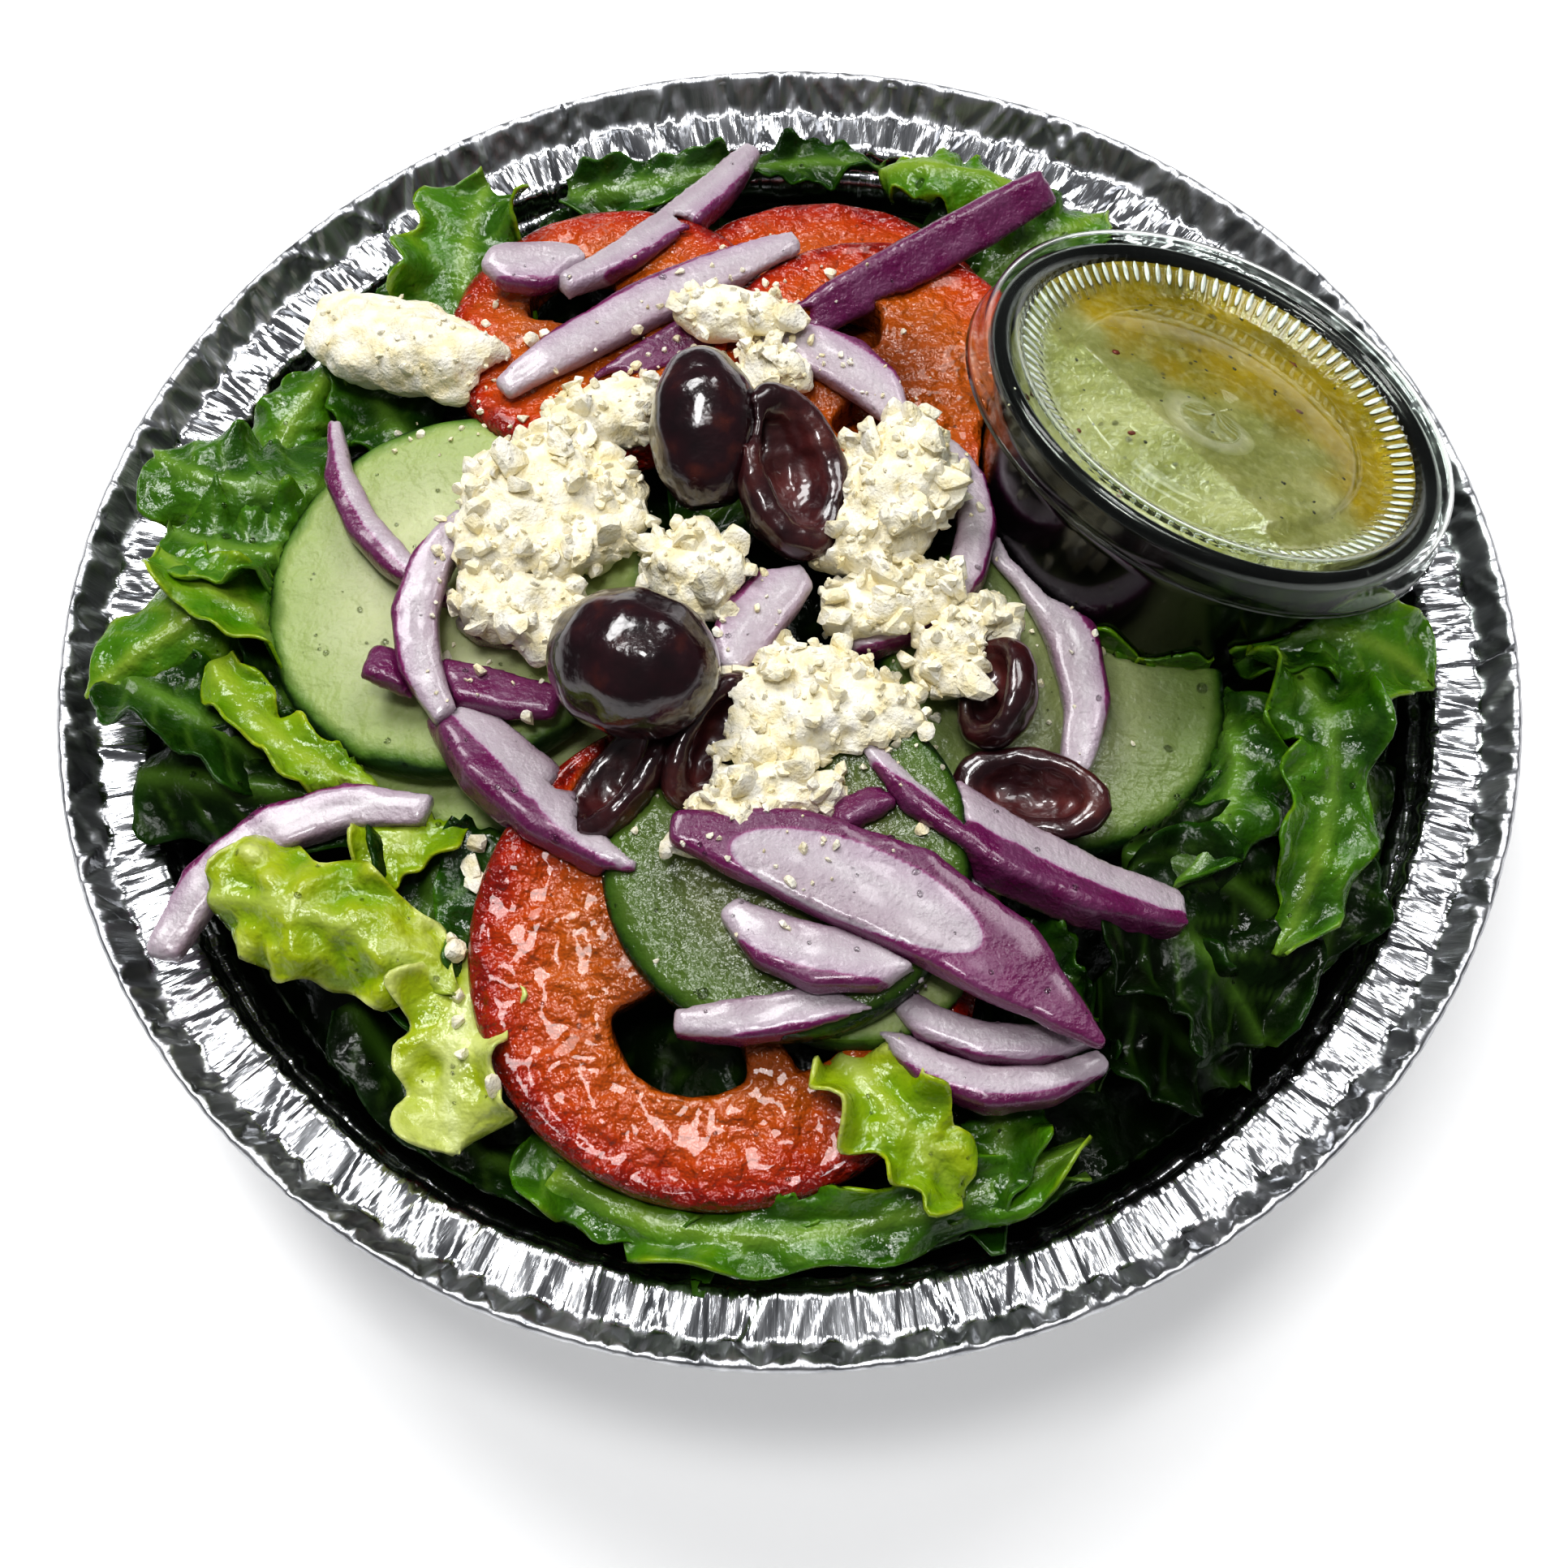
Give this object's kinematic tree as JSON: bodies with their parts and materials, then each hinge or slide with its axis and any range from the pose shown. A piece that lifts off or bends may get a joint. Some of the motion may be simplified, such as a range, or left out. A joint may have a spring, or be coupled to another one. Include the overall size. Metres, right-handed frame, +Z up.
{
  "type": "greek salad",
  "caption": "Greek salad of lettuce, tomato, cucumber, red onion, olives and crumbled feta in a round foil takeaway pan, with a lidded cup of dressing set in its edge.",
  "frame": {"origin": "middle of the pan's base, on the surface that it stands on", "axes": "+Z up, +X to the right and +Y away as the salad is seen, so the dressing cup is at the back right"},
  "size_m": [0.1888, 0.1888, 0.0814],
  "materials": {
    "foil": "bright crimped foil",
    "cup": "glossy",
    "lid": "thin clear plastic",
    "dressing": "cloudy oil and vinegar",
    "lettuce": "wet leaf",
    "tomato": "wet flesh and skin",
    "cucumber": "wet flesh",
    "onion": "wet flesh, purple skin",
    "olive": "wet, dark aubergine",
    "feta": "soft and crumbly"
  },
  "bodies": {
    "root": {"foil_pan": "foil", "dressing_cup": "cup", "cup_lid": "lid", "dressing": "dressing", "lettuce_bed": "lettuce", "tomato_front": "tomato", "tomato_back_left": "tomato", "tomato_back_right": "tomato", "tomato_back": "tomato", "cucumber_left": "cucumber", "cucumber_front": "cucumber", "cucumber_right": "cucumber", "cucumber_left_low": "cucumber", "cucumber_front_low": "cucumber", "onion_front_big": "onion", "onion_right_strip": "onion", "onion_front_mid": "onion", "onion_front_low": "onion", "onion_double_inner": "onion", "onion_double_outer": "onion", "onion_centre": "onion", "onion_back_wide": "onion", "onion_back_long": "onion", "onion_back_short": "onion", "onion_back_flat": "onion", "onion_back_skin": "onion", "onion_ring_back": "onion", "onion_ring_right": "onion", "onion_ring_low": "onion", "onion_right_long": "onion", "onion_left_thin": "onion", "onion_left_tail": "onion", "onion_left_arc": "onion", "onion_left_skin": "onion", "onion_big_left": "onion", "onion_right_under": "onion", "onion_right_small": "onion", "onion_left_rim": "onion", "olive_whole_back": "olive", "olive_whole_front": "olive", "olive_torn_back": "olive", "olive_torn_front_right": "olive", "olive_torn_front_left": "olive", "olive_torn_side_back": "olive", "olive_torn_side_front": "olive", "feta_block": "feta", "feta_back": "feta", "feta_back_low": "feta", "feta_back_left": "feta", "feta_left": "feta", "feta_left_low": "feta", "feta_centre": "feta", "feta_right": "feta", "feta_ring": "feta", "feta_front": "feta", "feta_side": "feta", "feta_tip": "feta"}
  },
  "joints": []
}
